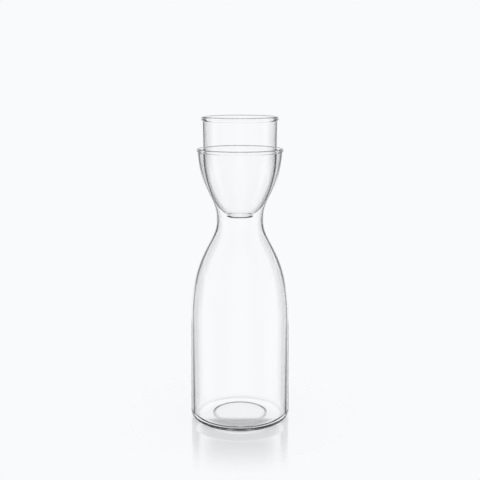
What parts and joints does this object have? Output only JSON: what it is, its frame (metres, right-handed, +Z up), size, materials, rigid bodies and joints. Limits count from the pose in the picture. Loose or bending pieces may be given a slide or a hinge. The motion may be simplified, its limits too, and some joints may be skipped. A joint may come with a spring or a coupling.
{
  "type": "glass carafe with tumbler",
  "caption": "Clear glass carafe with a straight body, waisted neck and funnel mouth, in which a round-bottomed tumbler stands as its lid.",
  "frame": {"origin": "centre of the carafe's flat foot, on the table", "axes": "+Z up along the axis of both vessels, +Y away from the camera, +X to the camera's right"},
  "size_m": [0.0884, 0.0884, 0.269],
  "materials": {
    "carafe_glass": "clear, smooth, about 3 mm thick above the heel, 1.8 mm at the shoulder and 1.6 mm at the mouth",
    "tumbler_glass": "clear, smooth, about 1.3 mm thick"
  },
  "bodies": {
    "carafe": {"carafe": "carafe_glass"},
    "tumbler": {"tumbler": "tumbler_glass"}
  },
  "joints": [
    {"name": "tumbler_lift", "type": "slide", "parent": "carafe", "child": "tumbler", "axis": [0, 0, 1], "range_m": [0, 0.08]}
  ]
}
